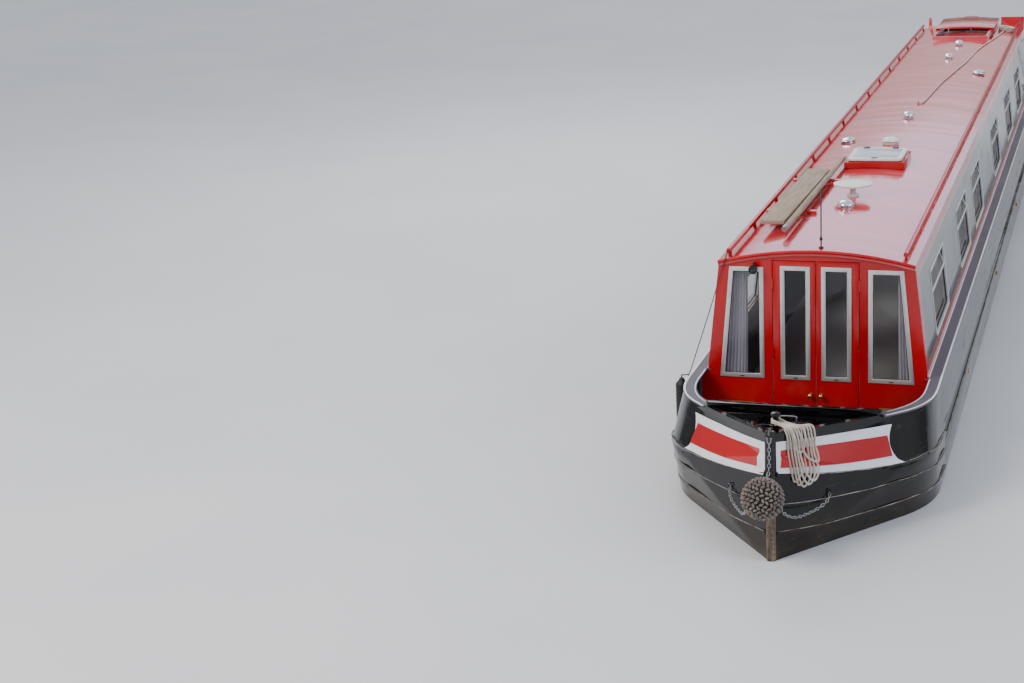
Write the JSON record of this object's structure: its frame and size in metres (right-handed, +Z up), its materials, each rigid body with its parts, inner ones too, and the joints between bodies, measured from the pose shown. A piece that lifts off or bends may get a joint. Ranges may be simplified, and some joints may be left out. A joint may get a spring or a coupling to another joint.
{
  "type": "narrowboat",
  "caption": "Steel canal narrowboat with a long glazed cabin, well deck at the bow, open stern deck, opening doors, hatches and lids, and a propeller and rudder.",
  "frame": {"origin": "middle of the baseplate's underside, on the centreline, half way along the hull", "axes": "+Z up, -Y towards the bow, +Y towards the stern, +X to port"},
  "size_m": [2.1936, 18.8565, 2.8433],
  "materials": {
    "red_enamel": "gloss coach enamel",
    "black_enamel": "gloss",
    "hull_blacking": "matt bitumen",
    "slate_deck_paint": "satin, gritted",
    "maroon_enamel": "satin",
    "green_enamel": "satin",
    "weathered_steel": "worn paint and rust",
    "deck_ply": "oiled",
    "weathered_wood": "bare, greyed",
    "galvanised_steel": "satin",
    "window_unit": "satin frame round a clear pane",
    "bronze": "cast, tarnished",
    "brass": "polished",
    "white_plastic": "semi gloss",
    "black_plastic": "matt",
    "tarred_rope": "knotted rope",
    "mooring_rope": "three strand rope",
    "black_cord": "braided cord",
    "black_rubber": "matt, scuffed"
  },
  "bodies": {
    "root": {"baseplate": "hull_blacking", "bow_shell": "black_enamel", "stem_post": "weathered_steel", "hull_side_port": "black_enamel", "hull_side_starboard": "black_enamel", "swim": "hull_blacking", "uxter_plate": "hull_blacking", "counter": "black_enamel", "gunwale_port": "slate_deck_paint", "gunwale_starboard": "slate_deck_paint", "foredeck": "black_enamel", "well_floor": "deck_ply", "well_locker_port": "maroon_enamel", "well_locker_starboard": "maroon_enamel", "cabin_floor": "deck_ply", "front_bulkhead": "red_enamel", "bulkhead_window_port": "window_unit", "bulkhead_window_starboard": "window_unit", "cabin_side_port": "red_enamel", "cabin_side_starboard": "red_enamel", "roof": "red_enamel", "roof_hatch_base": "red_enamel", "handrail_port": "red_enamel", "handrail_starboard": "red_enamel", "rear_bulkhead": "red_enamel", "stern_deck": "deck_ply", "engine": "green_enamel", "skeg": "hull_blacking", "stern_rail": "galvanised_steel", "gangplank": "weathered_wood", "boat_pole": "weathered_wood", "aerial": "white_plastic", "roof_rod": "black_plastic", "bow_fender": "tarred_rope", "stern_fender": "tarred_rope", "tunnel_lamp": "black_plastic", "bow_rope": "mooring_rope", "roof_rope": "mooring_rope", "roof_rope_coil": "mooring_rope", "side_line": "black_cord", "side_fender": "black_rubber"},
    "front_door_port": {"front_door_port": "red_enamel", "front_door_window_port": "window_unit"},
    "front_door_starboard": {"front_door_starboard": "red_enamel", "front_door_window_starboard": "window_unit"},
    "rear_door_port": {"rear_door_port": "red_enamel"},
    "rear_door_starboard": {"rear_door_starboard": "red_enamel"},
    "slide_hatch": {"slide_hatch": "red_enamel"},
    "roof_hatch_lid": {"roof_hatch_lid": "white_plastic"},
    "gas_locker_lid": {"gas_locker_lid": "black_enamel"},
    "seat_lid_port": {"seat_lid_port": "deck_ply"},
    "seat_lid_starboard": {"seat_lid_starboard": "deck_ply"},
    "deck_lid_port": {"deck_lid_port": "deck_ply"},
    "deck_lid_starboard": {"deck_lid_starboard": "deck_ply"},
    "propeller": {"propeller": "bronze"},
    "rudder": {"rudder": "hull_blacking", "tiller": "red_enamel", "tiller_bar": "brass"}
  },
  "joints": [
    {"name": "front_door_port_swing", "type": "hinge", "parent": "root", "child": "front_door_port", "pos_m": [0.348, -7.124, 1.5], "axis": [0, 0, 1], "range_deg": [0, 100]},
    {"name": "front_door_starboard_swing", "type": "hinge", "parent": "root", "child": "front_door_starboard", "pos_m": [-0.348, -7.124, 1.5], "axis": [0, 0, -1], "range_deg": [0, 100]},
    {"name": "rear_door_port_swing", "type": "hinge", "parent": "root", "child": "rear_door_port", "pos_m": [0.333, 7.521, 1.7], "axis": [0, 0, -1], "range_deg": [0, 100]},
    {"name": "rear_door_starboard_swing", "type": "hinge", "parent": "root", "child": "rear_door_starboard", "pos_m": [-0.333, 7.521, 1.7], "axis": [0, 0, 1], "range_deg": [0, 100]},
    {"name": "slide_hatch_travel", "type": "slide", "parent": "root", "child": "slide_hatch", "axis": [0, -1, 0], "range_m": [0, 0.7]},
    {"name": "roof_hatch_tilt", "type": "hinge", "parent": "root", "child": "roof_hatch_lid", "pos_m": [0.025, -3.239, 2.438], "axis": [-1, 0, 0], "range_deg": [0, 80]},
    {"name": "gas_locker_tilt", "type": "hinge", "parent": "root", "child": "gas_locker_lid", "pos_m": [0, -8.347, 1.38], "axis": [-1, 0, 0], "range_deg": [0, 80]},
    {"name": "seat_lid_port_tilt", "type": "hinge", "parent": "root", "child": "seat_lid_port", "pos_m": [0.805, -7.45, 1.06], "axis": [0, 1, 0], "range_deg": [0, 75]},
    {"name": "seat_lid_starboard_tilt", "type": "hinge", "parent": "root", "child": "seat_lid_starboard", "pos_m": [-0.805, -7.45, 1.06], "axis": [0, -1, 0], "range_deg": [0, 75]},
    {"name": "deck_lid_port_tilt", "type": "hinge", "parent": "root", "child": "deck_lid_port", "pos_m": [0.557, 8.1, 0.983], "axis": [0, 1, 0], "range_deg": [0, 95]},
    {"name": "deck_lid_starboard_tilt", "type": "hinge", "parent": "root", "child": "deck_lid_starboard", "pos_m": [-0.557, 8.1, 0.983], "axis": [0, -1, 0], "range_deg": [0, 95]},
    {"name": "propeller_spin", "type": "hinge", "parent": "root", "child": "propeller", "pos_m": [0, 8.575, 0.27], "axis": [0, 1, 0], "continuous": true},
    {"name": "rudder_swing", "type": "hinge", "parent": "root", "child": "rudder", "pos_m": [0, 8.895, 0.6], "axis": [0, 0, 1], "range_deg": [-40, 40]}
  ]
}
